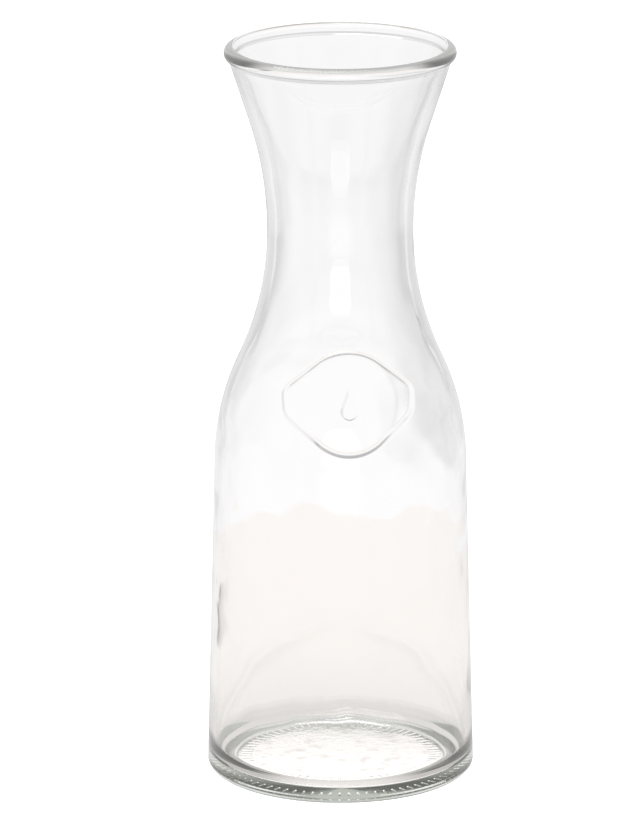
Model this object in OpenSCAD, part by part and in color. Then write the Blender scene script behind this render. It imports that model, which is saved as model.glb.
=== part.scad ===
// Water carafe of clear moulded glass, about one litre, in millimetres.
// +Z is up, the origin is the centre of the base on the table, and -Y faces the side with the seal.
// The real carafe is one piece of glass. It is given here by its zones, from the rim to the base,
// which meet face to face on cuts square to the wall, so that each keeps its own walls and hollow.

/* [Overall] */
// Height from the table to the top of the rim
total_h = 260; // [245:1:275]
// Outer diameter over the bead of the rim
rim_d = 80.4; // [76:0.2:86]
// Outer diameter at the waist, the narrowest place
waist_d = 50.9; // [46:0.1:57]
// Height of the waist above the table, as a share of the whole height
waist_share = 0.75; // [0.72:0.005:0.78]
// Outer diameter where the shoulder leaves the side wall
shoulder_d = 88.2; // [84:0.2:91]
// Height where the shoulder leaves the side wall, as a share of the whole height
shoulder_share = 0.4385; // [0.41:0.0005:0.47]
// Outer diameter of the heel, the widest place
heel_d = 94; // [91:0.2:99]

/* [Curves] */
// Radius of the shoulder's outward curve, as a share of the height from shoulder to waist
shoulder_bend = 1.085; // [0.9:0.005:1.3]
// Length of the mouth's straight flare, from the inward curve up to the rim's bead
flare_l = 25.2; // [20:0.2:32]
// Outer radius where the side wall turns under the base
heel_r = 3; // [2:0.1:5]
// Inner radius where the side wall meets the floor
floor_r = 7; // [6:0.1:9]

/* [Glass] */
// Thickness of the side wall
wall_t = 2.8; // [2.4:0.1:3.6]
// Thickness at the waist
neck_t = 3.6; // [2.8:0.1:4.4]
// Thickness of the flared mouth
mouth_t = 3; // [2.4:0.1:3.8]
// Height of the inside floor above the table
floor_h = 4.2; // [3.4:0.1:6]
// Height of the raised middle of the underside above the table
push_up_h = 1.8; // [1.2:0.1:2.4]

/* [Rim] */
// Diameter of the rounded bead that ends the rim
bead_d = 5; // [4.2:0.1:6]
// How far the bead stands out of the flared wall
bead_out = 0.9; // [0.4:0.1:1.4]

/* [Foot] */
// Height of the sloped step between the bearing ring and the raised underside
step_h = 0.9; // [0.5:0.1:1.4]
// Width of the sloped step
step_w = 1.5; // [0.8:0.1:2.5]
// Number of small ribs round the raised underside
rib_count = 72; // [36:4:96]
// Length of a rib along the radius
rib_len = 4.5; // [2.5:0.1:7]
// Width of a rib
rib_w = 1.1; // [0.6:0.1:1.4]
// How far a rib stands down from the raised underside
rib_h = 0.35; // [0.2:0.05:0.5]
// Distance from the edge of the raised underside to the ribs
rib_in = 1.2; // [0.5:0.1:3]

/* [Seal] */
// Width of the seal, as seen from the front
seal_w = 45; // [40:0.5:52]
// Height of the seal and diameter of its round middle, as seen from the front
seal_h = 35; // [32:0.5:38]
// Height of the ears that the seal has on its left and right
ear_h = 14.5; // [12:0.5:24]
// Radius of the ears' rounded corners
ear_r = 4; // [2:0.5:6]
// Height of the seal's centre, as a share of the way from shoulder to waist
seal_share = 0.345; // [0.3:0.005:0.4]
// How far the seal stands out of the glass
seal_relief = 0.9; // [0.6:0.1:1.4]
// Width of the border between the seal's round middle and the stamped disc
disc_in = 1; // [0.6:0.1:3]
// How deep the disc is stamped into the seal
disc_sink = 0.4; // [0.2:0.05:0.55]
// Height of the drop in the middle of the disc
drop_h = 9.5; // [7:0.1:14]
// Diameter of the round end of the drop
drop_d = 5.4; // [4:0.1:6.5]
// How far the drop stands out of the disc
drop_out = 0.35; // [0.2:0.05:0.5]

/* [Hidden] */
$fn = 96;

// How far a straight step of a profile may stray from the true curve
arc_sag = 0.02;
// Overrun of a cut past the face that it opens
cut_over = 1;
glass = [0.84, 0.92, 0.9, 0.5];

// Unit vector at an angle from the radial direction, in the plane of the profile
function unit(a) = [cos(a), sin(a)];

// Direction from one point to another, as an angle
function heading(from, to) = atan2(to[1] - from[1], to[0] - from[0]);

// Where the line from a point touches a circle: the angle between the point and the touching radius
function touch(c, r, p) = acos(r / norm(p - c));

// Points of a curve about c from angle a0 to a1, whose radius goes evenly from r0 to r1
function curve(c, r0, r1, a0, a1) =
    let (n = max(2, ceil(abs(a1 - a0) / (2 * acos(1 - arc_sag / max(r0, r1))))))
    [for (i = [0:n]) c + (r0 + (r1 - r0) * i / n) * unit(a0 + (a1 - a0) * i / n)];

function tail(list) = [for (i = [1:len(list) - 1]) list[i]];
function turned(list) = [for (i = [len(list) - 1:-1:0]) list[i]];

// Heights that follow the whole height
waist_h = waist_share * total_h;
shoulder_h = shoulder_share * total_h;
seal_z = shoulder_h + seal_share * (waist_h - shoulder_h);

// Side wall: a straight taper from the heel's curve to the shoulder
heel_c = [heel_d / 2 - heel_r, heel_r];
shoulder_p = [shoulder_d / 2, shoulder_h];
wall_a = heading(heel_c, shoulder_p) - touch(heel_c, heel_r, shoulder_p);
heel_p = heel_c + heel_r * unit(wall_a);

// Inside corner between the side wall and the floor, and the cut at its upper end
floor_c_h = floor_h + floor_r;
floor_c = [heel_p[0] - (wall_t + floor_r + (floor_c_h - heel_p[1]) * sin(wall_a)) / cos(wall_a), floor_c_h];
heel_in_p = floor_c + floor_r * unit(wall_a);
heel_out_p = heel_in_p + wall_t * unit(wall_a);
base_r = floor_c[0];

// Shoulder and neck: two curves that touch, the neck's being upright at the waist
shoulder_r = shoulder_bend * (waist_h - shoulder_h);
shoulder_c = shoulder_p - shoulder_r * unit(wall_a);
waist_p = [waist_d / 2, waist_h];
waist_run = waist_p - shoulder_c;
neck_r = (waist_run * waist_run - shoulder_r * shoulder_r) / (2 * (shoulder_r - waist_run[0]));
neck_c = waist_p + [neck_r, 0];
turn_a = heading(shoulder_c, neck_c);
turn_t = (wall_t + neck_t) / 2;

// Mouth: a curve out of the waist, then a straight flare that runs into the rim's bead
bead_c = [(rim_d - bead_d) / 2, total_h - bead_d / 2];
lip_p = bead_c + [bead_d / 2 - bead_out, 0];
lip_run = lip_p - waist_p;
flare_r = (lip_run * lip_run - flare_l * flare_l) / (2 * lip_run[0]);
flare_c = waist_p + [flare_r, 0];
flare_a = heading(flare_c, lip_p) + touch(flare_c, flare_r, lip_p);
flare_p = flare_c + flare_r * unit(flare_a);
flare_out = -unit(flare_a);
rim_cut_p = lip_p - bead_d * [-flare_out[1], flare_out[0]];

// Outer faces of the zones, from the bottom up, moved out of the glass by a distance
function body_face(out) = [heel_out_p + out * unit(wall_a), shoulder_p + out * unit(wall_a)];
function shoulder_face(out) = curve(shoulder_c, shoulder_r + out, shoulder_r + out, wall_a, turn_a);
function neck_face(out) = concat(
    curve(neck_c, neck_r - out, neck_r - out, 180 + turn_a, 180),
    tail(curve(flare_c, flare_r - out, flare_r - out, 180, flare_a)));
function face(out) = concat(body_face(out), tail(shoulder_face(out)), tail(neck_face(out)));

// Inner faces of the zones, whose thickness passes evenly from one named value to the next
body_inner = [heel_in_p, shoulder_p - wall_t * unit(wall_a)];
shoulder_inner = curve(shoulder_c, shoulder_r - wall_t, shoulder_r - turn_t, wall_a, turn_a);
neck_inner = concat(
    curve(neck_c, neck_r + turn_t, neck_r + neck_t, 180 + turn_a, 180),
    tail(curve(flare_c, flare_r + neck_t, flare_r + mouth_t, 180, flare_a)));

// Raised underside: a shallow dome from the step up to the middle
dome_rise = push_up_h - step_h;
dome_r = (base_r * base_r + dome_rise * dome_rise) / (2 * dome_rise);
dome_c = [0, push_up_h - dome_r];
function dome(down) = curve(dome_c, dome_r - down, dome_r - down, acos(base_r / dome_r), 90);

// A ring of glass between an outer face and an inner face, both listed from the bottom up
module glass_ring(outer, inner) {
    rotate_extrude() polygon(concat(outer, turned(inner)));
}

// Rim: the bead, and the last of the flared wall that carries it
module rim() {
    color(glass)
    rotate_extrude() {
        translate(bead_c) circle(d = bead_d);
        polygon([rim_cut_p, lip_p, lip_p - mouth_t * flare_out, rim_cut_p - mouth_t * flare_out]);
    }
}

// Mouth: the straight flare between the neck and the rim
module mouth() {
    color(glass)
    glass_ring([flare_p, rim_cut_p], [flare_p - mouth_t * flare_out, rim_cut_p - mouth_t * flare_out]);
}

// Neck: the inward curves below and above the waist, where a hand holds the carafe
module neck() {
    color(glass)
    glass_ring(neck_face(0), neck_inner);
}

// Shoulder: the outward curve from the side wall to the neck
module shoulder() {
    color(glass)
    glass_ring(shoulder_face(0), shoulder_inner);
}

// Body: the tapered side wall
module body() {
    color(glass)
    glass_ring(body_face(0), body_inner);
}

// Heel: the thick ring that turns from the wall to the flat bearing ring and the floor
module heel() {
    outer = concat(
        [heel_out_p],
        curve(heel_c, heel_r, heel_r, wall_a, -90),
        [[base_r + step_w, 0], [base_r, step_h]]);
    inner = curve(floor_c, floor_r, floor_r, -90, wall_a);
    color(glass)
    rotate_extrude() polygon(concat(outer, inner));
}

// Ribs: short radial bars that keep the raised underside off a wet conveyor
module base_ribs() {
    rib_from_r = base_r - rib_in - rib_len;
    intersection() {
        rotate_extrude() polygon(concat(dome(rib_h), [[0, push_up_h + rib_h], [base_r, push_up_h + rib_h]]));
        for (i = [0:rib_count - 1])
            rotate([0, 0, i * 360 / rib_count])
            translate([rib_from_r, -rib_w / 2, 0])
            cube([rib_len, rib_w, push_up_h]);
    }
}

// Base: the floor, raised underneath so that only the heel's bearing ring touches the table
module base() {
    color(glass) {
        rotate_extrude() polygon(concat([[0, floor_h], [base_r, floor_h]], dome(0)));
        base_ribs();
    }
}

// A layer on the outside of the wall, between two distances out of the glass
module wall_layer(from_out, to_out) {
    glass_ring(face(to_out), face(from_out));
}

// A 2D outline driven from the axis through the front wall, centred on the seal
module through_front() {
    translate([0, 0, seal_z])
    rotate([90, 0, 0])
    linear_extrude(height = heel_d / 2 + seal_relief + cut_over) children();
}

// The seal's edge, like wax pressed out to both sides: a round middle, and straight edges that run
// from it into the rounded corners of the ears
module seal_outline() {
    ear_c = [seal_w / 2 - ear_r, ear_h / 2 - ear_r];
    edge_a = heading([0, 0], ear_c) + acos((seal_h / 2 - ear_r) / norm(ear_c));
    function corner(side, up, a0, a1) = curve([side * ear_c[0], up * ear_c[1]], ear_r, ear_r, a0, a1);
    function middle(a0, a1) = curve([0, 0], seal_h / 2, seal_h / 2, a0, a1);
    polygon(concat(
        corner(1, 1, 0, edge_a), middle(edge_a, 180 - edge_a), corner(-1, 1, 180 - edge_a, 180),
        corner(-1, -1, 180, 180 + edge_a), middle(180 + edge_a, 360 - edge_a), corner(1, -1, 360 - edge_a, 360)));
}

// A plain water drop: a round end with two straight sides that touch it and meet at the tip
module drop_outline() {
    drop_r = drop_d / 2;
    tip_h = drop_h - drop_r;
    side_a = asin(drop_r / tip_h);
    translate([0, -tip_h / 2 + drop_r / 2]) {
        circle(r = drop_r);
        polygon([[0, tip_h], drop_r * [-cos(side_a), sin(side_a)], drop_r * [cos(side_a), sin(side_a)]]);
    }
}

// Seal: a relief on the shoulder with a stamped disc and a drop in its middle
module seal() {
    disc_out = seal_relief - disc_sink;
    color(glass) {
        difference() {
            intersection() {
                wall_layer(0, seal_relief);
                through_front() seal_outline();
            }
            intersection() {
                wall_layer(disc_out, seal_relief + cut_over);
                through_front() circle(r = seal_h / 2 - disc_in);
            }
        }
        intersection() {
            wall_layer(disc_out / 2, disc_out + drop_out);
            through_front() drop_outline();
        }
    }
}

rim();
mouth();
neck();
shoulder();
body();
heel();
base();
seal();
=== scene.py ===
"""A water carafe of clear moulded glass on a white table.

The file is laid out as an add-on and run as a script. All lengths are in metres. +Z is up, the
origin is the centre of the base on the table, and -Y is the side with the seal.
"""

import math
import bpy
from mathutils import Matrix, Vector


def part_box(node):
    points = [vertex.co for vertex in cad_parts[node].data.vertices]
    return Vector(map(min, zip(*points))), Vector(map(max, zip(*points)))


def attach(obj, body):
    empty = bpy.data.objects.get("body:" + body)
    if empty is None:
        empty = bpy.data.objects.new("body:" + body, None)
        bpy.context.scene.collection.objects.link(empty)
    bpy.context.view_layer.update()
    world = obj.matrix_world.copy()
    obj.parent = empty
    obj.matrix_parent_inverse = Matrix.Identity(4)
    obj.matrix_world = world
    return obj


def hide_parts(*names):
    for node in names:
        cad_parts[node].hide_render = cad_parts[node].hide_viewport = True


bl_info = {
    "name": "Moulded Glass Carafe",
    "version": (1, 0, 0),
    "blender": (4, 5, 0),
    "location": "3D View > Sidebar > Carafe",
    "description": "Makes a glass carafe with a seal on its shoulder, and the white table it stands on",
    "category": "Add Mesh",
}

import bmesh
import bpy
from bpy.props import FloatProperty, FloatVectorProperty, IntProperty, PointerProperty
from mathutils import Matrix, Vector

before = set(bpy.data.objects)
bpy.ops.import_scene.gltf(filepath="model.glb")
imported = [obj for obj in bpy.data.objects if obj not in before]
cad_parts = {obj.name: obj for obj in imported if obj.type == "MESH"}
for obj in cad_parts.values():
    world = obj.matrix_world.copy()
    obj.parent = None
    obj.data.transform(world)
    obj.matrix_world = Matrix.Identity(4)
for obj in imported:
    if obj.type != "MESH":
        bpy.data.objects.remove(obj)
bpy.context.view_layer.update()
RIM_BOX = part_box("rim")
HEEL_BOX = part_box("heel")
FLOOR_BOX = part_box("base")

MM = 0.001
CAD_NODES = ("rim", "mouth", "neck", "shoulder", "body", "heel", "base", "seal")
WELD = 1e-6


# ---------------------------------------------------------------- values that a user would change


def length(name, description, default):
    """A size in metres."""
    return FloatProperty(
        name=name,
        description=description,
        default=default,
        min=0.0,
        unit="LENGTH",
        subtype="DISTANCE",
        precision=5,
    )


def share(name, description, default, high=1.0):
    """A plain number, such as a share of some size."""
    return FloatProperty(name=name, description=description, default=default, min=0.0, soft_max=high)


def tint(name, description, default):
    """A colour without alpha."""
    return FloatVectorProperty(
        name=name, description=description, default=default, min=0.0, max=1.0, size=3, subtype="COLOR"
    )


class CarafeWallSizes(bpy.types.PropertyGroup):
    """The carafe's outline, from the table to the rim, and the thickness of its glass."""

    height: length("Height", "From the table to the top of the rim", RIM_BOX[1].z)
    rim: length("Rim Diameter", "Over the bead of the rim", RIM_BOX[1].x - RIM_BOX[0].x)
    waist: length("Waist Diameter", "At the narrowest place of the neck", 50.9 * MM)
    waist_at: share("Waist Height", "Height of the waist, as a share of the whole height", 0.75)
    shoulder: length("Shoulder Diameter", "Where the shoulder leaves the side wall", 88.2 * MM)
    shoulder_at: share("Shoulder Height", "Where the shoulder begins, as a share of the whole height", 0.4385)
    heel: length("Heel Diameter", "At the widest place, just over the table", HEEL_BOX[1].x - HEEL_BOX[0].x)
    shoulder_bend: share(
        "Shoulder Bend", "Radius of the shoulder's curve, as a share of the way up to the waist", 1.085, 2.0
    )
    flare: length("Mouth Flare", "Length of the straight flare under the rim", 25.2 * MM)
    heel_turn: length("Heel Radius", "Outer radius where the wall turns under the base", 3 * MM)
    floor_turn: length("Floor Radius", "Inner radius where the wall meets the floor", 7 * MM)
    wall: length("Wall", "Thickness of the side wall", 2.8 * MM)
    neck_wall: length("Neck Wall", "Thickness at the waist", 3.6 * MM)
    mouth_wall: length("Mouth Wall", "Thickness of the flared mouth", 3 * MM)
    floor: length("Floor Height", "Height of the inside floor over the table", FLOOR_BOX[1].z)
    push_up: length("Push-up", "Height of the raised middle of the underside", 1.8 * MM)
    bead: length("Rim Bead", "Diameter of the rounded bead that ends the rim", 5 * MM)
    bead_out: length("Bead Overhang", "How far the bead stands out of the flared wall", 0.9 * MM)
    bead_fillet: length("Bead Fillet", "Radius of the hollow under the bead", 0.8 * MM)
    step: length("Foot Step Height", "Height of the slope inside the bearing ring", 0.9 * MM)
    step_width: length("Foot Step Width", "Width of that slope", 1.5 * MM)


class CarafeSealSizes(bpy.types.PropertyGroup):
    """The seal in relief on the front of the shoulder."""

    width: length("Width", "Over both ears, as seen from the front", 45 * MM)
    middle: length("Middle Diameter", "Diameter of the seal's round middle", 35 * MM)
    ear: length("Ear Height", "Height of the ears on its left and right", 14.5 * MM)
    corner: length("Ear Corner", "Radius of the ears' corners", 5.6 * MM)
    up: share("Place", "Height of its centre, as a share of the way from shoulder to waist", 0.345)
    relief: length("Relief", "How far it stands out of the glass", 0.9 * MM)
    border: length("Border", "From the round middle's edge to the stamped disc", 1 * MM)
    sink: length("Disc Depth", "How deep the disc is stamped", 0.4 * MM)
    drop: length("Drop Height", "Height of the drop in the middle", 9.5 * MM)
    drop_width: length("Drop Width", "Diameter of the drop's round end", 5.4 * MM)
    drop_relief: length("Drop Relief", "How far the drop stands out of the disc", 0.35 * MM)
    softness: length("Edge Softness", "Width of the slope at the seal's edge", 1.3 * MM)


class CarafeMarkSizes(bpy.types.PropertyGroup):
    """What the mould and the hot glass leave behind: ribs underneath, ripples and seeds."""

    ribs: IntProperty(name="Ribs", description="Small ribs round the raised underside", default=72, min=3)
    rib_length: length("Rib Length", "Length of a rib along the radius", 4.5 * MM)
    rib_width: length("Rib Width", "Width of a rib", 1.1 * MM)
    rib_drop: length("Rib Drop", "How far a rib stands down from the underside", 0.35 * MM)
    rib_inset: length("Rib Inset", "From the edge of the underside to the ribs", 1.2 * MM)
    ripple: length("Ripple", "How far the side wall wanders from its true curve", 0.3 * MM)
    ripple_size: length("Ripple Size", "Distance from one ripple to the next", 12 * MM)
    seeds: IntProperty(
        name="Seeds",
        description="Small gas bubbles in the wall, on average; chance can leave fewer or more",
        default=9,
        min=0,
    )
    seed_size: length("Seed Size", "Length of the largest seed", 0.9 * MM)


class CarafeLook(bpy.types.PropertyGroup):
    """The glass, and the light that the table and the room give it."""

    glass: tint("Glass Tint", "What thick glass lets through of white light", (0.58, 0.68, 0.60))
    depth: share("Tint Strength", "How fast that tint deepens in the glass, for each metre", 5.0, 60.0)
    ior: share("IOR", "How strongly the glass bends light", 1.52, 2.0)
    base_light: tint("Light in the Base", "Light that wanders in the heel and the floor", (0.53, 0.54, 0.49))
    wall_light: tint("Light in the Wall", "Light that wanders in the wall and the rim", (0.80, 0.79, 0.78))
    inner_turns: IntProperty(
        name="Inner Turns", description="How often light is followed as it is thrown back", default=3, min=1
    )
    table_near: tint("Table", "The table round the carafe, as the glass shows it", (0.955, 0.915, 0.885))
    table_far: tint("Backdrop", "The paper further out, as the glass shows it", (0.985, 0.975, 0.985))
    sky: tint("Room", "The room over the table, as the glass mirrors it", (0.62, 0.61, 0.62))


# ---------------------------------------------------------------- sums written as node trees


class Field:
    """A number or a vector that changes over a surface, built from nodes as its sum is written."""

    def __init__(self, tree, socket):
        self.tree = tree
        self.socket = socket

    def _math(self, operation, *values):
        node = self.tree.nodes.new("ShaderNodeMath")
        node.operation = operation
        for socket, value in zip(node.inputs, values):
            feed(self.tree, socket, value)
        return Field(self.tree, node.outputs[0])

    def __add__(self, other):
        return self._math("ADD", self, other)

    def __radd__(self, other):
        return self._math("ADD", other, self)

    def __sub__(self, other):
        return self._math("SUBTRACT", self, other)

    def __rsub__(self, other):
        return self._math("SUBTRACT", other, self)

    def __mul__(self, other):
        return self._math("MULTIPLY", self, other)

    def __rmul__(self, other):
        return self._math("MULTIPLY", other, self)

    def __truediv__(self, other):
        return self._math("DIVIDE", self, other)

    def __rtruediv__(self, other):
        return self._math("DIVIDE", other, self)

    def __abs__(self):
        return self._math("ABSOLUTE", self)

    def do(self, operation, *others):
        """Any other sum of the Math node, such as SINE or MAXIMUM."""
        return self._math(operation, self, *others)

    def _between(self, interpolation, low, high):
        settings = {"interpolation_type": interpolation}
        node = add_node(self.tree, "ShaderNodeMapRange", settings, Value=self, From_Min=low, From_Max=high)
        return Field(self.tree, node.outputs["Result"])

    def ramp(self, low, high):
        """0 up to low, 1 from high, and smooth between them."""
        return self._between("SMOOTHSTEP", low, high)

    def fade(self, low, high):
        """1 up to low, 0 from high, and smooth between them."""
        return 1.0 - self.ramp(low, high)

    def slope(self, low, high):
        """0 up to low, 1 from high, and even between them."""
        return self._between("LINEAR", low, high)

    def choose(self, when_one, when_zero):
        """when_one where this is 1, when_zero where it is 0."""
        return when_zero + self * (when_one - when_zero)


def feed(tree, socket, value):
    """Gives a socket its value: a field, another socket, or a plain number, colour or name."""
    if isinstance(value, Field):
        tree.links.new(value.socket, socket)
    elif isinstance(value, bpy.types.NodeSocket):
        tree.links.new(value, socket)
    else:
        socket.default_value = value


def add_node(tree, kind, settings=None, **inputs):
    """A node of that kind with its settings, fed by input name; an underscore stands for a space."""
    node = tree.nodes.new(kind)
    for name, value in (settings or {}).items():
        setattr(node, name, value)
    for name, value in inputs.items():
        feed(tree, node.inputs[name.replace("_", " ")], value)
    return node


def hypot(a, b):
    """Length of the step (a, b)."""
    return (a * a + b * b).do("SQRT")


def vector(tree, x, y, z):
    """A vector from three numbers or fields."""
    return Field(tree, add_node(tree, "ShaderNodeCombineXYZ", X=x, Y=y, Z=z).outputs[0])


def parts(field):
    """The X, Y and Z of a vector field."""
    node = add_node(field.tree, "ShaderNodeSeparateXYZ", Vector=field)
    return [Field(field.tree, socket) for socket in node.outputs]


def tidy(tree, width=190, height=150, rows=9):
    """Sets the nodes out in columns in the order in which they were made."""
    for i, node in enumerate(tree.nodes):
        node.location = (width * (i // rows), -height * (i % rows))


class Builder:
    """A new node tree with named inputs and outputs."""

    SOCKETS = {float: "NodeSocketFloat", int: "NodeSocketInt", Vector: "NodeSocketVector"}

    def __init__(self, name, kind, inputs, outputs):
        self.tree = bpy.data.node_groups.new(name, kind)
        for label, value in inputs.items():
            plain = isinstance(value, str)
            socket = self.tree.interface.new_socket(
                name=label, in_out="INPUT", socket_type=value if plain else self.SOCKETS[type(value)]
            )
            if not plain:
                socket.default_value = value
        for label, socket_type in outputs.items():
            self.tree.interface.new_socket(name=label, in_out="OUTPUT", socket_type=socket_type)
        self.inward = self.tree.nodes.new("NodeGroupInput")
        self.outward = self.tree.nodes.new("NodeGroupOutput")

    def __getitem__(self, label):
        return Field(self.tree, self.inward.outputs[label])

    def add(self, kind, settings=None, **inputs):
        return add_node(self.tree, kind, settings, **inputs)

    def field(self, kind, settings=None, **inputs):
        return Field(self.tree, self.add(kind, settings, **inputs).outputs[0])

    def finish(self, **outputs):
        for label, value in outputs.items():
            feed(self.tree, self.outward.inputs[label], value)
        tidy(self.tree)
        return self.tree


GEOMETRY = "NodeSocketGeometry"
MATERIAL = "NodeSocketMaterial"


def set_inputs(modifier, values):
    """Sets a Geometry Nodes modifier's inputs, found by name and set by identifier."""
    sockets = {
        item.name: item.identifier
        for item in modifier.node_group.interface.items_tree
        if item.item_type == "SOCKET" and item.in_out == "INPUT"
    }
    for name, value in values.items():
        modifier[sockets[name]] = value


# ---------------------------------------------------------------- the carafe's profile


def unit(angle):
    """Unit vector at an angle from the radial direction, in the plane of the profile."""
    return Vector((math.cos(angle), math.sin(angle)))


def heading(start, end):
    """Direction from one point of the profile to another."""
    run = end - start
    return math.atan2(run.y, run.x)


def touch(centre, radius, point):
    """Angle between a point and the radius that its tangent touches."""
    return math.acos(radius / (point - centre).length)


def arc(centre, start_radius, end_radius, start, end, step):
    """Points about a centre, whose radius goes evenly from one value to the other."""
    count = max(2, math.ceil(abs(end - start) * max(start_radius, end_radius) / step))
    points = []
    for i in range(count + 1):
        radius = start_radius + (end_radius - start_radius) * i / count
        points.append(centre + radius * unit(start + (end - start) * i / count))
    return points


def straight(start, end, step):
    """Points on a straight line."""
    count = max(1, math.ceil((end - start).length / step))
    return [start.lerp(end, i / count) for i in range(count + 1)]


def softened(before, corner, after, radius):
    """Three points that round a corner a little."""
    inward = corner + (before - corner).normalized() * radius
    outward = corner + (after - corner).normalized() * radius
    return [inward, (inward + outward + 2 * corner) / 4, outward]


class Outline:
    """The profile's circles and the points where they touch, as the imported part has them."""

    def __init__(self, size, seal):
        self.heel_c = Vector((size.heel / 2 - size.heel_turn, size.heel_turn))
        self.shoulder_p = Vector((size.shoulder / 2, size.shoulder_at * size.height))
        self.wall_a = heading(self.heel_c, self.shoulder_p)
        self.wall_a -= touch(self.heel_c, size.heel_turn, self.shoulder_p)
        wall_out = unit(self.wall_a)
        heel_p = self.heel_c + size.heel_turn * wall_out
        floor_up = size.floor + size.floor_turn
        lean = (floor_up - heel_p.y) * math.sin(self.wall_a)
        floor_in = (size.wall + size.floor_turn + lean) / math.cos(self.wall_a)
        self.floor_c = Vector((heel_p.x - floor_in, floor_up))
        self.base_r = self.floor_c.x

        waist_up = size.waist_at * size.height
        rise = waist_up - self.shoulder_p.y
        self.seal_up = self.shoulder_p.y + seal.up * rise
        self.shoulder_r = size.shoulder_bend * rise
        self.shoulder_c = self.shoulder_p - self.shoulder_r * wall_out
        self.waist_p = Vector((size.waist / 2, waist_up))
        run = self.waist_p - self.shoulder_c
        self.neck_r = (run.length_squared - self.shoulder_r**2) / (2 * (self.shoulder_r - run.x))
        self.neck_c = self.waist_p + Vector((self.neck_r, 0))
        self.turn_a = heading(self.shoulder_c, self.neck_c)
        self.turn_wall = (size.wall + size.neck_wall) / 2

        self.bead_c = Vector(((size.rim - size.bead) / 2, size.height - size.bead / 2))
        self.lip_p = self.bead_c + Vector((size.bead / 2 - size.bead_out, 0))
        run = self.lip_p - self.waist_p
        self.flare_r = (run.length_squared - size.flare**2) / (2 * run.x)
        self.flare_c = self.waist_p + Vector((self.flare_r, 0))
        self.flare_a = heading(self.flare_c, self.lip_p) + touch(self.flare_c, self.flare_r, self.lip_p)
        self.flare_p = self.flare_c + self.flare_r * unit(self.flare_a)
        self.flare_out = -unit(self.flare_a)

        self.dome_rise = size.push_up - size.step
        self.dome_r = (self.base_r**2 + self.dome_rise**2) / (2 * self.dome_rise)
        self.dome_c = Vector((0, size.push_up - self.dome_r))

    def underside(self, radius):
        """Height of the raised underside at a radius, without its ribs."""
        return self.dome_c.y + math.sqrt(self.dome_r**2 - radius**2)


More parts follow.
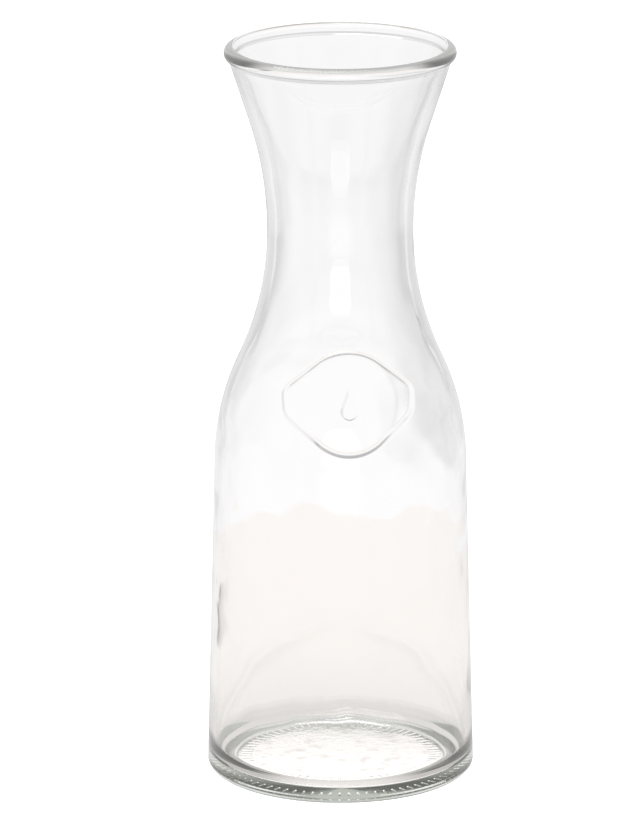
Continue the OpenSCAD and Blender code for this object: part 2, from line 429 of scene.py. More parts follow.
def profile_points(size, seal):
    """The closed profile, from the middle of the underside out, up, over the rim and down inside.

    Each point comes with how far it belongs to the outer wall and to the inner wall, from 0 to 1.
    """
    o = Outline(size, seal)
    # Steps along the profile, and the radius of the two corners of the foot's step
    coarse, middling, fine, hollow_step, bead_step = 3.2 * MM, 2.3 * MM, 0.36 * MM, 0.22 * MM, 0.45 * MM
    heel_step, floor_turn_step, floor_step = 0.4 * MM, 0.8 * MM, 2.6 * MM
    crisp = 0.25 * MM

    foot_in = Vector((o.base_r, size.step))
    foot_out = Vector((o.base_r + size.step_width, 0))
    dome = arc(o.dome_c, o.dome_r, o.dome_r, math.pi / 2, math.acos(o.base_r / o.dome_r), coarse)
    ring_end = Vector((o.heel_c.x, 0))
    under = dome[:-1] + softened(dome[-2], foot_in, foot_out, crisp)
    under += softened(foot_in, foot_out, ring_end, crisp) + [foot_out.lerp(ring_end, 0.5)]
    heel = arc(o.heel_c, size.heel_turn, size.heel_turn, -math.pi / 2, o.wall_a, heel_step)
    body = straight(heel[-1], o.shoulder_p, coarse)

    # The wall is finely stepped where the seal stands on it, and a little beyond
    edge = seal.middle / 2 + 2.5 * MM

    def thinned(fine_points):
        points = fine_points[:1]
        for point in fine_points[1:]:
            near = abs(point.y - o.seal_up) < edge
            if near or (point - points[-1]).length > middling - fine:
                points.append(point)
        if (points[-1] - fine_points[-1]).length > WELD:
            points.append(fine_points[-1])
        return points

    shoulder = thinned(arc(o.shoulder_c, o.shoulder_r, o.shoulder_r, o.wall_a, o.turn_a, fine))
    neck = thinned(arc(o.neck_c, o.neck_r, o.neck_r, math.pi + o.turn_a, math.pi, fine))
    flare = arc(o.flare_c, o.flare_r, o.flare_r, math.pi, o.flare_a, middling)

    # A small hollow curve joins the flared wall to the bead, as hot glass does
    along = Vector((-o.flare_out.y, o.flare_out.x))
    bead_r = size.bead / 2
    fillet = size.bead_fillet
    base = o.lip_p + fillet * o.flare_out
    run = base - o.bead_c
    reach = bead_r + fillet
    back = run.dot(along) + math.sqrt(run.dot(along) ** 2 - run.length_squared + reach**2)
    fillet_c = base - back * along
    mouth = straight(o.flare_p, fillet_c - fillet * o.flare_out, coarse)
    bead_from = heading(o.bead_c, fillet_c)
    fillet_from = heading(fillet_c, fillet_c - o.flare_out)
    fillet_to = heading(fillet_c, o.bead_c)
    hollow = arc(fillet_c, fillet, fillet, fillet_from, fillet_to, hollow_step)

    inner_p = o.lip_p - size.mouth_wall * o.flare_out
    run = inner_p - o.bead_c
    on_bead = run.dot(along) - math.sqrt(max(run.dot(along) ** 2 - run.length_squared + bead_r**2, 0))
    inner_lip = inner_p - on_bead * along
    bead = arc(o.bead_c, bead_r, bead_r, bead_from, heading(o.bead_c, inner_lip) % math.tau, bead_step)

    mouth_in = straight(inner_lip, o.flare_p - size.mouth_wall * o.flare_out, coarse)
    flare_in = arc(
        o.flare_c, o.flare_r + size.mouth_wall, o.flare_r + size.neck_wall, o.flare_a, math.pi, middling
    )
    neck_in = arc(
        o.neck_c, o.neck_r + size.neck_wall, o.neck_r + o.turn_wall, math.pi, math.pi + o.turn_a, middling
    )
    shoulder_in = arc(
        o.shoulder_c, o.shoulder_r - o.turn_wall, o.shoulder_r - size.wall, o.turn_a, o.wall_a, middling
    )
    floor_turn = arc(o.floor_c, size.floor_turn, size.floor_turn, o.wall_a, -math.pi / 2, floor_turn_step)
    body_in = straight(shoulder_in[-1], floor_turn[0], coarse)
    floor = straight(floor_turn[-1], Vector((0, size.floor)), floor_step)

    # Each run with its share of the outer wall and of the inner wall
    runs = (
        (under, 0, 0), (heel, 0, 0), (body, 1, 0), (shoulder, 1, 0), (neck, 1, 0), (flare, 1, 0),
        (mouth, 1, 0), (hollow, 0, 0), (bead, 0, 0), (mouth_in, 0, 1), (flare_in, 0, 1), (neck_in, 0, 1),
        (shoulder_in, 0, 1), (body_in, 0, 1), (floor_turn, 0, 1), (floor, 0, 0.6),
    )
    points = []
    for run, outer, inner in runs:
        for point in run:
            if points and (point - points[-1][0]).length < WELD:
                continue
            points.append((point, outer, inner))
    return points


def profile_object(size, seal):
    """The profile as a chain of vertices in the XZ plane, with what the wall's nodes read from it."""
    points = profile_points(size, seal)
    mesh = bpy.data.meshes.new("carafe_profile")
    count = len(points)
    mesh.from_pydata([(p.x, 0, p.y) for p, _, _ in points], [(i, i + 1) for i in range(count - 1)], [])
    normals = []
    for i in range(count):
        along = points[min(i + 1, count - 1)][0] - points[max(i - 1, 0)][0]
        along.normalize()
        normals += [along.y, 0, -along.x]
    mesh.attributes.new("out_of_glass", "FLOAT_VECTOR", "POINT").data.foreach_set("vector", normals)
    mesh.attributes.new("outer_wall", "FLOAT", "POINT").data.foreach_set("value", [p[1] for p in points])
    mesh.attributes.new("inner_wall", "FLOAT", "POINT").data.foreach_set("value", [p[2] for p in points])
    thing = bpy.data.objects.new("carafe_profile", mesh)
    bpy.context.scene.collection.objects.link(thing)
    return thing


# Heights between which one zone of the carafe goes over to the next
HEEL_TO_WALL_RIPPLE = 0.012, 0.050
HEEL = 0.012, 0.040
SHOULDER = 0.13, 0.17
RIM = 0.235, 0.250


# ---------------------------------------------------------------- geometry nodes


def seal_height(b, x, z):
    """How far the seal stands out of the wall at a place seen from the front."""
    across, up = abs(x), abs(z)
    # The edge is steep at the top and runs out softly round the lower half of the ears
    low_half, top, ears = z.fade(-4 * MM, 4 * MM), z.ramp(2 * MM, 8 * MM), across.ramp(9 * MM, 16 * MM)
    steep_share = 0.75
    soft = b["Edge Softness"] * (1.0 - top * steep_share + ears * low_half)
    radius = b["Middle"] / 2
    corner = b["Ear Corner"]
    ear_x, ear_z = b["Seal Width"] / 2 - corner, b["Ear Height"] / 2 - corner

    # The straight edge touches the round middle and the ear's corner
    slope = ear_z.do("ARCTAN2", ear_x) + ((radius - corner) / hypot(ear_x, ear_z)).do("ARCCOSINE")
    edge_x, edge_z = slope.do("COSINE"), slope.do("SINE")
    side = across - b["Seal Width"] / 2
    straight_edge = across * edge_x + up * edge_z - radius
    round_edge = hypot(across, up) - radius
    past_slope = up.do("ARCTAN2", across).do("GREATER_THAN", slope)
    sloped = past_slope.choose(round_edge, straight_edge)
    dx, dz = across - ear_x, up - ear_z
    on_corner = dx.do("GREATER_THAN", 0.0) * dz.do("GREATER_THAN", 0.0)
    on_corner = on_corner * (1.0 - dz.do("ARCTAN2", dx).do("GREATER_THAN", slope))
    rim = on_corner.choose(hypot(dx, dz) - corner, side.do("MAXIMUM", sloped))
    outside = 0.12
    body = 1.0 - rim.slope((outside - 1.0) * soft, outside * soft)

    # The sunk place follows the whole outline, and a tenth of its depth the round middle alone
    slope_half = b["Edge Softness"] * 0.23
    wider_below, middle_share = 0.8, 0.1
    border = b["Border"] * (1.0 + low_half * wider_below)
    disc = 1.0 - (rim + border).ramp(-1.0 * slope_half, slope_half) * (1.0 - middle_share)
    disc = disc - (round_edge + b["Border"]).ramp(-2.0 * slope_half, 2.0 * slope_half) * middle_share

    # The drop: a round end and two straight sides that meet at the tip
    drop_r = b["Drop Width"] / 2
    tip = b["Drop Height"] - drop_r
    low = z + (tip - drop_r) / 2
    side_sin = drop_r / tip
    side_cos = (1.0 - side_sin * side_sin).do("SQRT")
    flank = across * side_cos + (low - tip) * side_sin
    ball = hypot(x, low) - drop_r
    over = (low * side_cos - across * side_sin).do("GREATER_THAN", 0.0)
    drop = 1.0 - over.choose(flank, ball).ramp(-0.5 * slope_half, 0.5 * slope_half)
    return body * b["Relief"] - disc * b["Disc Depth"] + drop * b["Drop Relief"]


def wall_tree():
    """Turns the profile into a closed wall, raises the seal on it and lets the inner face ripple."""
    b = Builder(
        "Turned glass wall",
        "GeometryNodeTree",
        {
            "Geometry": GEOMETRY,
            "Steps Round": 248,
            "Crowding": 0.62,
            "Seal Up": 0.142,
            "Seal Width": 0.045,
            "Middle": 0.035,
            "Ear Height": 0.0145,
            "Ear Corner": 0.004,
            "Relief": 0.0009,
            "Border": 0.001,
            "Disc Depth": 0.0004,
            "Drop Height": 0.0095,
            "Drop Width": 0.0054,
            "Drop Relief": 0.00035,
            "Edge Softness": 0.0016,
            "Ripple": 0.00005,
            "Ripple Size": 0.016,
            "Ripple Seed": 4.0,
            "Glass": MATERIAL,
        },
        {"Geometry": GEOMETRY},
    )
    rows = b.field("GeometryNodeAttributeDomainSize", {"component": "MESH"}, Geometry=b["Geometry"])
    grid = b.field("GeometryNodeMeshGrid", Vertices_X=b["Steps Round"] + 1.0, Vertices_Y=rows)
    index = b.field("GeometryNodeInputIndex")
    row = index.do("FLOORED_MODULO", rows)
    column = ((index + 0.5) / rows).do("FLOOR")

    def of_row(data_type, value):
        settings = {"data_type": data_type, "domain": "POINT"}
        return b.field("GeometryNodeSampleIndex", settings, Geometry=b["Geometry"], Value=value, Index=row)

    def attribute(data_type, name):
        named = b.field("GeometryNodeInputNamedAttribute", {"data_type": data_type}, Name=name)
        return of_row(data_type, named)

    radius, _, up = parts(of_row("FLOAT_VECTOR", b.field("GeometryNodeInputPosition")))
    out_r, _, out_z = parts(attribute("FLOAT_VECTOR", "out_of_glass"))
    outer, inner = attribute("FLOAT", "outer_wall"), attribute("FLOAT", "inner_wall")

    # Columns stand closer together at the front, where the seal is
    turn = column * math.tau / b["Steps Round"]
    angle = turn - b["Crowding"] * turn.do("SINE")
    sine, cosine = angle.do("SINE"), angle.do("COSINE")
    x, y = radius * sine, radius * cosine * -1.0
    front = outer * y.do("LESS_THAN", 0.0)
    relief = front * seal_height(b, x, up - b["Seal Up"])

    place = vector(b.tree, x, y, up)
    noise = b.field(
        "ShaderNodeTexNoise",
        {"noise_dimensions": "4D"},
        Vector=place, W=b["Ripple Seed"], Scale=1.0 / b["Ripple Size"], Detail=1.0, Roughness=0.4,
    )
    # The inner face ripples, most of all in the side wall, and the mould holds the outer face still
    still_neck, still_outside = 0.65, 0.15
    calm = up.ramp(*HEEL_TO_WALL_RIPPLE) * (1.0 - up.ramp(*SHOULDER) * still_neck)
    ripple = (noise - 0.5) * 2.0 * b["Ripple"] * calm * (inner + outer * still_outside)
    off = relief + ripple
    moved = vector(b.tree, x + off * out_r * sine, y - off * out_r * cosine, up + off * out_z)
    shaped = b.field("GeometryNodeSetPosition", Geometry=grid, Position=moved)
    marked = b.field(
        "GeometryNodeStoreNamedAttribute",
        {"data_type": "FLOAT", "domain": "POINT"},
        Geometry=shaped, Name="outer_wall", Value=outer,
    )
    welded = b.field("GeometryNodeMergeByDistance", Geometry=marked, Distance=WELD)
    smooth = b.field("GeometryNodeSetShadeSmooth", Geometry=welded)
    real = b.field("GeometryNodeRealizeInstances", Geometry=smooth)
    glazed = b.field("GeometryNodeSetMaterial", Geometry=real, Material=b["Glass"])
    return b.finish(Geometry=glazed)


def marks_tree():
    """Adds the ribs under the base and the seeds in the wall."""
    b = Builder(
        "Mould marks and seeds",
        "GeometryNodeTree",
        {
            "Geometry": GEOMETRY,
            "Ribs": 72,
            "Ring Radius": 0.033,
            "Rib Up": 0.0015,
            "Rib Tilt": 0.09,
            "Rib Length": 0.0045,
            "Rib Width": 0.0011,
            "Seeds": 9,
            "Seed Size": 0.0009,
            "Seed Depth": 0.0016,
            "Scatter": 3,
            "Glass": MATERIAL,
        },
        {"Geometry": GEOMETRY},
    )
    # A rib is a ball drawn out along the radius, half sunk in the underside
    ball = b.field("GeometryNodeMeshUVSphere", Segments=10, Rings=6, Radius=b["Rib Width"] / 2)
    _, _, z = parts(b.field("GeometryNodeInputPosition"))
    longer = (b["Rib Length"] - b["Rib Width"]) / 2
    stretch = z.do("SIGN") * abs(z).do("GREATER_THAN", WELD) * longer
    rib = b.field("GeometryNodeSetPosition", Geometry=ball, Offset=vector(b.tree, 0.0, 0.0, stretch))
    laid = vector(b.tree, 0.0, math.pi / 2 + b["Rib Tilt"], 0.0)
    rib = b.field("GeometryNodeTransform", Geometry=rib, Rotation=laid)
    ring = b.field("GeometryNodeMeshCircle", Vertices=b["Ribs"], Radius=b["Ring Radius"])
    ring = b.field("GeometryNodeSetPosition", Geometry=ring, Offset=vector(b.tree, 0.0, 0.0, b["Rib Up"]))
    turn = b.field("GeometryNodeInputIndex") * math.tau / b["Ribs"]
    ribs = b.field(
        "GeometryNodeInstanceOnPoints", Points=ring, Instance=rib, Rotation=vector(b.tree, 0.0, 0.0, turn)
    )
    ribs = b.field("GeometryNodeRealizeInstances", Geometry=ribs)
    union = b.add("GeometryNodeMeshBoolean", {"operation": "UNION", "solver": "MANIFOLD"})
    b.tree.links.new(b["Geometry"].socket, union.inputs["Mesh 2"])
    b.tree.links.new(ribs.socket, union.inputs["Mesh 2"])
    fused = Field(b.tree, union.outputs["Mesh"])

    # The joint between a rib and the underside stays crisp
    _, _, z = parts(b.field("GeometryNodeInputPosition"))
    angle = b.field("GeometryNodeInputMeshEdgeAngle")
    sharp, underside_top = math.radians(32), 2.8 * MM
    crisp = angle.do("GREATER_THAN", sharp) * z.do("LESS_THAN", underside_top)
    fused = b.field("GeometryNodeSetShadeSmooth", {"domain": "FACE"}, Geometry=fused)
    fused = b.field(
        "GeometryNodeSetShadeSmooth", {"domain": "EDGE"}, Geometry=fused, Selection=crisp, Shade_Smooth=False
    )

    # The seeds lie in the middle of the wall. Its area in square metres turns their average number into
    # a density, and this draw leaves a single one, near the rim
    outer = b.field("GeometryNodeInputNamedAttribute", {"data_type": "FLOAT"}, Name="outer_wall")
    wall_area = 0.062
    scattered = b.add(
        "GeometryNodeDistributePointsOnFaces",
        {"distribute_method": "RANDOM"},
        Mesh=b["Geometry"],
        Selection=outer.do("GREATER_THAN", 0.9),
        Density=b["Seeds"] / wall_area,
        Seed=b["Scatter"],
    )
    points, normal = (Field(b.tree, scattered.outputs[name]) for name in ("Points", "Normal"))
    depth = b["Seed Depth"] * -1.0
    inward = b.field("ShaderNodeVectorMath", {"operation": "SCALE"}, Vector=normal, Scale=depth)
    points = b.field("GeometryNodeSetPosition", Geometry=points, Offset=inward)
    seed = b.field("GeometryNodeMeshUVSphere", Segments=10, Rings=7, Radius=b["Seed Size"] / 2)
    seed = b.field("GeometryNodeFlipFaces", Mesh=seed)
    seed = b.field("GeometryNodeTransform", Geometry=seed, Scale=vector(b.tree, 0.5, 0.5, 1.0))
    size = b.add("FunctionNodeRandomValue", {"data_type": "FLOAT"}, Seed=b["Scatter"])
    low, high = [s for s in size.inputs if s.name in ("Min", "Max") and s.type == "VALUE"]
    low.default_value, high.default_value = 0.35, 1.0
    value = next(s for s in size.outputs if s.enabled)
    bubbles = b.field("GeometryNodeInstanceOnPoints", Points=points, Instance=seed, Scale=value)
    bubbles = b.field("GeometryNodeRealizeInstances", Geometry=bubbles)
    bubbles = b.field("GeometryNodeSetShadeSmooth", Geometry=bubbles)
    joined = b.add("GeometryNodeJoinGeometry")
    b.tree.links.new(bubbles.socket, joined.inputs[0])
    b.tree.links.new(fused.socket, joined.inputs[0])
    plain = b.field("GeometryNodeRemoveAttribute", Geometry=joined.outputs[0], Name="outer_wall")
    real = b.field("GeometryNodeRealizeInstances", Geometry=plain)
    glazed = b.field("GeometryNodeSetMaterial", Geometry=real, Material=b["Glass"])
    return b.finish(Geometry=glazed)


# ---------------------------------------------------------------- materials


def new_material(name):
    """An empty node material and its tree."""
    material = bpy.data.materials.new(name)
    material.use_nodes = True
    material.node_tree.nodes.clear()
    return material, material.node_tree


def blend(tree, share_of_second, first, second):
    """A colour between two."""
    mix = tree.nodes.new("ShaderNodeMix")
    mix.data_type = "RGBA"
    feed(tree, mix.inputs[0], share_of_second)
    for socket, colour in zip([socket for socket in mix.inputs if socket.type == "RGBA"], (first, second)):
        socket.default_value = (*colour, 1.0)
    return next(socket for socket in mix.outputs if socket.type == "RGBA")


def skin_group():
    """The skin of fire-polished glass: faint waves on the wall, and the mould's chill under the base."""
    b = Builder(
        "Fire-polished skin",
        "ShaderNodeTree",
        {
            "Vector": Vector(),
            "Wave Size": 0.022,
            "Wave Height": 0.02,
            "Chill Size": 0.004,
            "Chill Height": 0.05,
            "Chill Top": 0.0045,
            "Roughness": 0.018,
            "Chill Roughness": 0.03,
        },
        {"Height": "NodeSocketFloat", "Roughness": "NodeSocketFloat"},
    )
    x, y, z = parts(b["Vector"])
    flat = vector(b.tree, x, y, z * 0.2)
    per_wave, per_chill = 1.0 / b["Wave Size"], 1.0 / b["Chill Size"]
    wave = b.field("ShaderNodeTexNoise", Vector=b["Vector"], Scale=per_wave, Detail=2.0, Roughness=0.45)
    chill = b.field("ShaderNodeTexNoise", Vector=flat, Scale=per_chill, Detail=3.0, Roughness=0.6)
    base = z.fade(b["Chill Top"] - 1 * MM, b["Chill Top"] + 1 * MM)
    base = base * hypot(x, y).fade(34 * MM, 39 * MM)
    height = wave * b["Wave Height"] + chill * b["Chill Height"] * base
    roughness = b["Roughness"] + base * b["Chill Roughness"]
    return b.finish(Height=height, Roughness=roughness)


def glass_material(look):
    """Clear soda-lime glass with a grey-green depth, which lets the lamps' light through to the table, with a
    painted glow and painted shade where light wanders on inside it.
    """
    material, tree = new_material("clear_glass")
    place = add_node(tree, "ShaderNodeTexCoord").outputs["Object"]
    skin = tree.nodes.new("ShaderNodeGroup")
    skin.node_tree = skin_group()
    tree.links.new(place, skin.inputs["Vector"])
    bump = add_node(tree, "ShaderNodeBump", Strength=1.0, Distance=MM, Height=skin.outputs["Height"])
    glass = add_node(
        tree,
        "ShaderNodeBsdfPrincipled",
        Base_Color=(1.0, 1.0, 1.0, 1.0),
        Metallic=0.0,
        IOR=look.ior,
        Transmission_Weight=1.0,
        Roughness=skin.outputs["Roughness"],
        Normal=bump.outputs["Normal"],
    )
    through = add_node(tree, "ShaderNodeBsdfTransparent", Color=(0.93, 0.95, 0.94, 1.0))
    # Light that wanders on inside the glass is taken as a painted glow of the grey it has in the end, with
    # painted shade that is darkest at the left and right of the heel and the rim
    x, y, up = parts(Field(tree, place))
    high, neck, rim = up.ramp(*HEEL), up.ramp(*SHOULDER), up.ramp(*RIM)
    grey = blend(tree, high, look.base_light, look.wall_light)
    heel_painted_dark, heel_end_painted_dark, rim_end_painted_dark, wall_painted_dark, neck_painted_dark = 0.5, 0.28, 0.8, 0.08, 0.25
    painted_dark = flanks(x, y, HEEL_MIDDLE, 0.58, 0.95) * heel_painted_dark
    painted_dark = painted_dark + flanks(x, y, HEEL_MIDDLE, 0.3, 0.6) * heel_end_painted_dark
    painted_dark = painted_dark * (1.0 - high) + flanks(x, y, SIGHT, 0.3, 0.75) * rim_end_painted_dark * rim
    painted_dark = painted_dark + (high - rim) * wall_painted_dark + neck * (1.0 - rim) * neck_painted_dark
    painted_glow = add_node(tree, "ShaderNodeEmission", Color=grey, Strength=1.0 - painted_dark)
    path = add_node(tree, "ShaderNodeLightPath")
    thrown_back, met = (Field(tree, path.outputs[name]) for name in ("Glossy Depth", "Ray Depth"))
    deep = thrown_back.do("GREATER_THAN", look.inner_turns - 0.5)
    deep = deep.do("MAXIMUM", met.do("GREATER_THAN", 2.0 * look.inner_turns + 0.5))
    ended = tree.nodes.new("ShaderNodeMixShader")
    feed(tree, ended.inputs[0], deep)
    tree.links.new(glass.outputs[0], ended.inputs[1])
    tree.links.new(painted_glow.outputs[0], ended.inputs[2])
    mixed = tree.nodes.new("ShaderNodeMixShader")
    tree.links.new(path.outputs["Is Shadow Ray"], mixed.inputs[0])
    tree.links.new(ended.outputs[0], mixed.inputs[1])
    tree.links.new(through.outputs[0], mixed.inputs[2])
    depth = add_node(tree, "ShaderNodeVolumeAbsorption", Color=(*look.glass, 1.0), Density=look.depth)
    out = tree.nodes.new("ShaderNodeOutputMaterial")
    tree.links.new(mixed.outputs[0], out.inputs["Surface"])
    tree.links.new(depth.outputs[0], out.inputs["Volume"])
    tidy(tree, 240, 260, 3)
    return material


# Degrees from +Y towards +X: the photograph's line of sight, and the middle of the heel's light part
SIGHT = 4.5
HEEL_MIDDLE = -3.5

# Metres out from the carafe's axis on the table: where a tone starts to change, and where it is done
DISC_EDGE = 0.036, 0.038
RING_INSIDE = 0.0365, 0.038
RING_OUTSIDE = 0.0445, 0.047
FOOT_EDGE = 0.044, 0.047
FOOT_SHADE = 0.046, 0.075
FLANK_EDGE = 0.044, 0.046
FLANK_SHADE = 0.055, 0.075
WIDE_SHADE = 0.05, 0.16
NEAR_TABLE = 0.12, 0.25
MIDDLE_TABLE = 0.30, 0.65
PAPER_CHANGE = 0.310, 0.322
RIGHT_SHADE = 0.36, 0.46
PAINTED_POOL_FROM = 0.42, 0.6
PAST_RIGHT_SHADE = 0.55, 0.7
FAR_PAPER = 0.58, 0.72
FAR_TABLE = 0.65, 0.85
PAST_PAINTED_POOL = 0.9, 1.2
HORIZON = 1.2, 2.0

# Faces of the glass that a ray has met: two where it crossed one wall, and four where it crossed both
FRONT_WALL = 3.0, 4.0
BOTH_WALLS = 2.5, 4.0
PAST_BOTH_WALLS = 4.2, 5.0


def turn_from_back(x, y):
    """Angle from the +Y axis towards +X."""
    return x.do("ARCTAN2", y)


def sideways(x, y):
    """How far a direction is from the clear lines of sight through the middle, from 0 to 1.

    The eight lines of sight, one of them the photograph's, are light. Between them lie the darker
    places that draw the edges of clear glass.
    """
    quarter, middle = math.pi / 2, math.radians(2.5)
    turn = turn_from_back(x, y) - middle + quarter / 2
    off = abs(turn.do("FLOORED_MODULO", quarter) - quarter / 2)
    between, between_share = off.ramp(math.radians(38), math.radians(45)), 0.8
    return off.ramp(math.radians(4), math.radians(28)) * (1.0 - between * between_share)


def flanks(x, y, middle, inner, outer):
    """1 at the carafe's left and right, and 0 towards its front and back.

    Its front and back lie middle degrees round from the Y axis. It goes over from 1 to 0 where the
    cosine of the angle from there is between inner and outer.
    """
    front = abs((turn_from_back(x, y) - math.radians(middle)).do("COSINE"))
    return front.fade(inner, outer)


def right_of_sight(x, y):
    """1 in a band to the right of the photograph's line of sight, where the table has painted shade, 0
    elsewhere.
    """
    turn = turn_from_back(x, y)
    return turn.ramp(math.radians(7), math.radians(12)) * turn.fade(math.radians(19), math.radians(30))


def table_material(look):
    """White paper, which keeps the carafe's shadow. The glass shows it with painted light and shade that draw
    its edges, and mirrors a painted pool of lamp light on it.
    """
    material, tree = new_material("white_table")
    x, y, _ = parts(Field(tree, add_node(tree, "ShaderNodeTexCoord").outputs["Object"]))
    out = hypot(x, y)
    colour = blend(tree, out.ramp(*PAPER_CHANGE), look.table_near, look.table_far)
    turns = Field(tree, add_node(tree, "ShaderNodeLightPath").outputs["Ray Depth"])
    both_walls, front_wall = turns.ramp(*BOTH_WALLS), turns.fade(*FRONT_WALL)

    # Painted light under the raised middle, with faint streaks, and painted shadow under the bearing ring,
    # deeper at its left and right
    disc_light, streak_dark, ring_painted_shadow, ring_flank_painted_shadow = 0.36, 0.3, 0.13, 0.33
    noise = add_node(tree, "ShaderNodeTexNoise", Vector=vector(tree, x, y, 0.0), Scale=170.0, Detail=3.0)
    streaks = Field(tree, noise.outputs[0]).ramp(0.52, 0.66)
    ring = out.ramp(*RING_INSIDE) * out.fade(*RING_OUTSIDE)
    under = out.fade(*DISC_EDGE) * (disc_light - streaks * streak_dark)
    under = under - ring * (ring_painted_shadow + flanks(x, y, SIGHT, 0.7, 1.0) * ring_flank_painted_shadow)
    under = under * turns.fade(*PAST_BOTH_WALLS)

    # Painted shade: darker further out beside the lines of sight, and in a band to the right of the
    # photograph's line of sight
    near_dark, middle_dark, far_dark, right_painted_shade, paper_dark = 0.04, 0.2, 0.16, 0.17, 0.055
    dark = out.ramp(*NEAR_TABLE) * near_dark + out.ramp(*MIDDLE_TABLE) * middle_dark
    dark = sideways(x, y) * (dark + out.ramp(*FAR_TABLE) * far_dark)
    right_shade_end_share, one_wall_share = 0.75, 0.3
    # The band of painted shade to the right, which mostly fades further out
    wall = out.ramp(*RIGHT_SHADE) * (1.0 - out.ramp(*PAST_RIGHT_SHADE) * right_shade_end_share)
    dark = dark + right_of_sight(x, y) * wall * both_walls * right_painted_shade
    dark = dark * (one_wall_share + both_walls * (1.0 - one_wall_share)) + out.ramp(*FAR_PAPER) * paper_dark

    # Painted shadow round the foot and at its left and right, painted shade far out, and a painted dark place
    # that only the edge of the glass turns into sight
    wide_shade, foot_shade, flank_shade, beside_shade, horizon_shade = 0.12, 0.16, 0.55, 0.8, 0.4
    beside_x, beside_y, beside_core, beside_end = -0.165, 0.15, 0.03, 0.055
    shade = out.fade(*WIDE_SHADE) * wide_shade + out.fade(*FOOT_SHADE) * foot_shade
    shade = shade * out.ramp(*FOOT_EDGE) + out.ramp(*HORIZON) * both_walls * horizon_shade
    beside = hypot(x - beside_x, y - beside_y).fade(beside_core, beside_end) * beside_shade
    flank = out.fade(*FLANK_SHADE) * out.ramp(*FLANK_EDGE) * flanks(x, y, SIGHT, 0.6, 0.9) * flank_shade
    shade = shade + (beside + flank) * front_wall
    full_light = 1.04
    through = add_node(tree, "ShaderNodeEmission", Color=colour, Strength=full_light + under - dark - shade)

    # A painted pool of light from the lamps in front, on a stretch of the table, which the waist mirrors
    sight, near_glare, far_loss, painted_pool_glare = math.radians(SIGHT), 1.45, 0.15, 1.3
    ahead = (x * -math.sin(sight) - y * math.cos(sight)) / out
    painted_lamp_pool = ahead.ramp(0.93, 0.985) * out.ramp(*PAINTED_POOL_FROM) * out.fade(*PAST_PAINTED_POOL)
    glare = near_glare - out.ramp(0.3, 0.7) * far_loss + painted_lamp_pool * painted_pool_glare
    mirrored = add_node(tree, "ShaderNodeEmission", Color=(*look.sky, 1.0), Strength=glare)

    # Plain paper beside the glass, which glows a little so that it is white without more light on the glass
    paper = add_node(tree, "ShaderNodeBsdfDiffuse", Color=(0.8, 0.79, 0.785, 1.0))
    glow = add_node(tree, "ShaderNodeEmission", Color=(1.0, 1.0, 1.0, 1.0), Strength=0.62)
    lit = tree.nodes.new("ShaderNodeAddShader")
    tree.links.new(paper.outputs[0], lit.inputs[0])
    tree.links.new(glow.outputs[0], lit.inputs[1])
    surface = pick_by_ray(tree, lit, mirrored, through)
    end = tree.nodes.new("ShaderNodeOutputMaterial")
    tree.links.new(surface, end.inputs["Surface"])
    tidy(tree, 220, 220, 4)
    return material


def pick_by_ray(tree, plain, mirrored, through):
    """One shader for plain sight, one for what the glass mirrors and one for what is seen through it."""
    path = add_node(tree, "ShaderNodeLightPath")
    first, second = tree.nodes.new("ShaderNodeMixShader"), tree.nodes.new("ShaderNodeMixShader")
    tree.links.new(path.outputs["Is Glossy Ray"], first.inputs[0])
    tree.links.new(plain.outputs[0], first.inputs[1])
    tree.links.new(mirrored.outputs[0], first.inputs[2])
    tree.links.new(path.outputs["Is Transmission Ray"], second.inputs[0])
    tree.links.new(first.outputs[0], second.inputs[1])
    tree.links.new(through.outputs[0], second.inputs[2])
    return second.outputs[0]


def room_world(look):
    """A plain room: white to the camera, mid grey in the glass's mirrored light, pale seen through it."""
    world = bpy.data.worlds.new("plain_room")
    world.use_nodes = True
    tree = world.node_tree
    tree.nodes.clear()
    x, y, up = parts(Field(tree, add_node(tree, "ShaderNodeTexCoord").outputs["Generated"]))
    turns = Field(tree, add_node(tree, "ShaderNodeLightPath").outputs["Ray Depth"])

    # Low down it is dark on the lines of sight, which draws the seal's edges as dark lines
    low_dark, side_light, one_wall_share = 0.55, 0.43, 0.35
    dark = up.fade(0.25, 0.5) * (low_dark - sideways(x, y) * side_light)
    dark = dark * (one_wall_share + turns.ramp(*BOTH_WALLS) * (1.0 - one_wall_share))
    through = add_node(tree, "ShaderNodeBackground", Color=(*look.table_far, 1.0), Strength=1.0 - dark)
    low_glare, high_loss = 1.3, 0.3
    glare = low_glare - up.ramp(0.2, 0.5) * high_loss
    mirrored = add_node(tree, "ShaderNodeBackground", Color=(*look.sky, 1.0), Strength=glare)
    white = add_node(tree, "ShaderNodeBackground", Color=(1.0, 1.0, 1.0, 1.0), Strength=1.0)
    surface = pick_by_ray(tree, white, mirrored, through)
    end = tree.nodes.new("ShaderNodeOutputWorld")
    tree.links.new(surface, end.inputs["Surface"])
    tidy(tree, 220, 220, 4)
    return world


# ---------------------------------------------------------------- the pieces


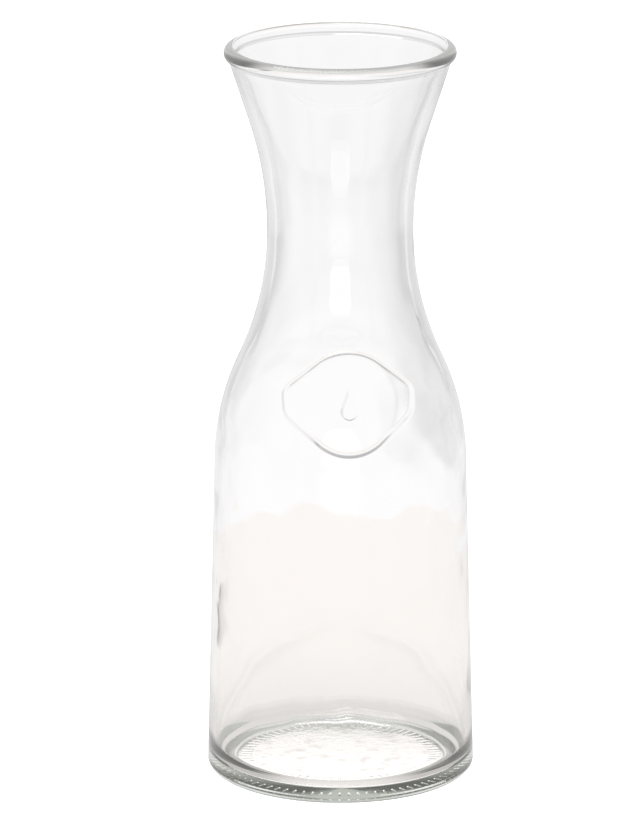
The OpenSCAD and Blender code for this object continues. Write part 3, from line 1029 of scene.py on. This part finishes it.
def make_carafe(context):
    """Turns the profile, fuses its marks and leaves one plain mesh that stands for the whole part."""
    scene = context.scene
    size, seal, marks, look = scene.carafe_wall, scene.carafe_seal, scene.carafe_marks, scene.carafe_look
    outline = Outline(size, seal)
    glass = glass_material(look)
    profile = profile_object(size, seal)

    wall = profile.modifiers.new("Turned glass wall", "NODES")
    wall.node_group = wall_tree()
    set_inputs(
        wall,
        {
            "Seal Up": outline.seal_up,
            "Seal Width": seal.width,
            "Middle": seal.middle,
            "Ear Height": seal.ear,
            "Ear Corner": seal.corner,
            "Relief": seal.relief,
            "Border": seal.border,
            "Disc Depth": seal.sink,
            "Drop Height": seal.drop,
            "Drop Width": seal.drop_width,
            "Drop Relief": seal.drop_relief,
            "Edge Softness": seal.softness,
            "Ripple": marks.ripple,
            "Ripple Size": marks.ripple_size,
            "Glass": glass,
        },
    )
    ring = outline.base_r - marks.rib_inset - marks.rib_length / 2
    under = profile.modifiers.new("Mould marks and seeds", "NODES")
    under.node_group = marks_tree()
    set_inputs(
        under,
        {
            "Ribs": marks.ribs,
            "Ring Radius": ring,
            "Rib Up": outline.underside(ring) + marks.rib_width / 2 - marks.rib_drop,
            "Rib Tilt": math.asin(ring / outline.dome_r),
            "Rib Length": marks.rib_length,
            "Rib Width": marks.rib_width,
            "Seeds": marks.seeds,
            "Seed Size": marks.seed_size,
            "Seed Depth": size.wall / 2,
            "Glass": glass,
        },
    )
    context.view_layer.update()
    evaluated = profile.evaluated_get(context.evaluated_depsgraph_get())
    mesh = bpy.data.meshes.new_from_object(evaluated)
    bpy.data.objects.remove(profile)
    mesh.name = "glass_carafe"
    carafe = bpy.data.objects.new("glass_carafe", mesh)
    scene.collection.objects.link(carafe)

    check = bmesh.new()
    check.from_mesh(mesh)
    loose = sum(not edge.is_manifold for edge in check.edges)
    volume = check.calc_volume(signed=True)
    check.free()
    print(f"glass_carafe: {len(mesh.polygons)} faces, {loose} open edges, {volume * 1e6:.1f} ml of glass")
    if loose or volume <= 0:
        raise RuntimeError("the carafe's glass isn't closed, or is inside out")
    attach(carafe, "root")
    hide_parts(*CAD_NODES)
    return carafe


def make_table(look):
    """A wide round sheet of paper just under the carafe."""
    mesh = bpy.data.meshes.new("table")
    shape = bmesh.new()
    bmesh.ops.create_circle(shape, cap_ends=True, segments=96, radius=6.0)
    bmesh.ops.translate(shape, verts=shape.verts, vec=(0, 0, -0.0002))
    bmesh.ops.recalc_face_normals(shape, faces=shape.faces)
    for face in shape.faces:
        if face.normal.z < 0:
            face.normal_flip()
    shape.to_mesh(mesh)
    shape.free()
    mesh.materials.append(table_material(look))
    table = bpy.data.objects.new("table", mesh)
    bpy.context.scene.collection.objects.link(table)
    return table


def make_softbox(name, place, aim, size, power):
    """A soft lamp that lights the table and is mirrored by the glass, but isn't seen straight through it."""
    lamp = bpy.data.lights.new(name, "AREA")
    lamp.shape = "RECTANGLE"
    lamp.size, lamp.size_y = size
    lamp.energy = power
    lamp.use_nodes = True
    tree = lamp.node_tree
    path = add_node(tree, "ShaderNodeLightPath")
    passed = Field(tree, path.outputs["Transmission Depth"]).do("GREATER_THAN", 0.5)
    thrown_back = Field(tree, path.outputs["Glossy Depth"]).do("GREATER_THAN", 0.5)
    feed(tree, tree.nodes["Emission"].inputs["Strength"], 1.0 - passed * (1.0 - thrown_back))
    tidy(tree, 200, 200, 4)
    thing = bpy.data.objects.new(name, lamp)
    way = Vector(aim) - Vector(place)
    thing.matrix_world = Matrix.Translation(place) @ way.to_track_quat("-Z", "Y").to_matrix().to_4x4()
    thing.visible_camera = False
    bpy.context.scene.collection.objects.link(thing)
    return thing


def make_camera():
    """The photograph's view: from 2.2 m in front, a little to the left and above, through a long lens."""
    distance, turned = 2.2, math.radians(-4.5)
    pitch, yaw, roll = math.radians(15.7), math.radians(0.185), math.radians(-0.08)
    aim_up, focal_pixels, frame_pixels, sensor = 0.1289, 6542.0, 824.0, 36.0
    camera = bpy.data.cameras.new("photograph_view")
    camera.sensor_width = sensor
    camera.lens = sensor * focal_pixels / frame_pixels
    camera.clip_end = 100.0
    thing = bpy.data.objects.new("photograph_view", camera)
    up = aim_up + distance * math.tan(pitch)
    place = Vector((distance * math.sin(turned), -distance * math.cos(turned), up))
    turn = (
        Matrix.Rotation(turned + yaw, 4, "Z")
        @ Matrix.Rotation(math.pi / 2 - pitch, 4, "X")
        @ Matrix.Rotation(roll, 4, "Z")
    )
    thing.matrix_world = Matrix.Translation(place) @ turn
    bpy.context.scene.collection.objects.link(thing)
    bpy.context.scene.camera = thing
    return thing


class CARAFE_OT_glass(bpy.types.Operator):
    """Make the carafe: its turned wall, its seal, the ribs under its base and the seeds in its glass"""

    bl_idname = "carafe.glass"
    bl_label = "Glass Carafe"
    bl_options = {"REGISTER", "UNDO"}

    def execute(self, context):
        make_carafe(context)
        return {"FINISHED"}


class CARAFE_OT_stage(bpy.types.Operator):
    """Make the white table, the room, the soft lamps and the camera"""

    bl_idname = "carafe.stage"
    bl_label = "Table, Lamps and Camera"
    bl_options = {"REGISTER", "UNDO"}

    def execute(self, context):
        look = context.scene.carafe_look
        make_table(look)
        context.scene.world = room_world(look)
        # Four lamps lie on each other, so that the window's edges fade
        windows = ((0.42, 0.33, 0.35), (0.5, 0.31, 0.4), (0.56, 0.28, 0.5), (0.6, 0.24, 0.6))
        for width, height, power in windows:
            make_softbox("front_window", (-0.0863, -1.0966, 0.22), (0, 0, 0.22), (width, height), power)
        make_softbox("overhead", (-0.3, 0.2, 1.9), (0, 0, 0), (1.4, 1.4), 16.0)
        make_camera()
        context.scene.view_settings.view_transform = "Standard"
        return {"FINISHED"}


class CARAFE_PT_panel(bpy.types.Panel):
    """Lists what the carafe is made of"""

    bl_idname = "CARAFE_PT_panel"
    bl_label = "Glass Carafe"
    bl_space_type = "VIEW_3D"
    bl_region_type = "UI"
    bl_category = "Carafe"

    def draw(self, context):
        layout = self.layout
        for operator in (CARAFE_OT_glass, CARAFE_OT_stage):
            layout.operator(operator.bl_idname)
        for name in GROUPS:
            values = getattr(context.scene, name)
            column = layout.column(heading=name)
            for key in values.__annotations__:
                column.prop(values, key)


GROUPS = {
    "carafe_wall": CarafeWallSizes,
    "carafe_seal": CarafeSealSizes,
    "carafe_marks": CarafeMarkSizes,
    "carafe_look": CarafeLook,
}
CLASSES = (*GROUPS.values(), CARAFE_OT_glass, CARAFE_OT_stage, CARAFE_PT_panel)


def register():
    for cls in CLASSES:
        bpy.utils.register_class(cls)
    for name, group in GROUPS.items():
        setattr(bpy.types.Scene, name, PointerProperty(type=group))


def unregister():
    for name in GROUPS:
        delattr(bpy.types.Scene, name)
    for cls in reversed(CLASSES):
        bpy.utils.unregister_class(cls)


def main():
    """Registers the add-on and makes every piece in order."""
    register()
    bpy.ops.carafe.glass()
    bpy.ops.carafe.stage()


if __name__ == "__main__":
    main()
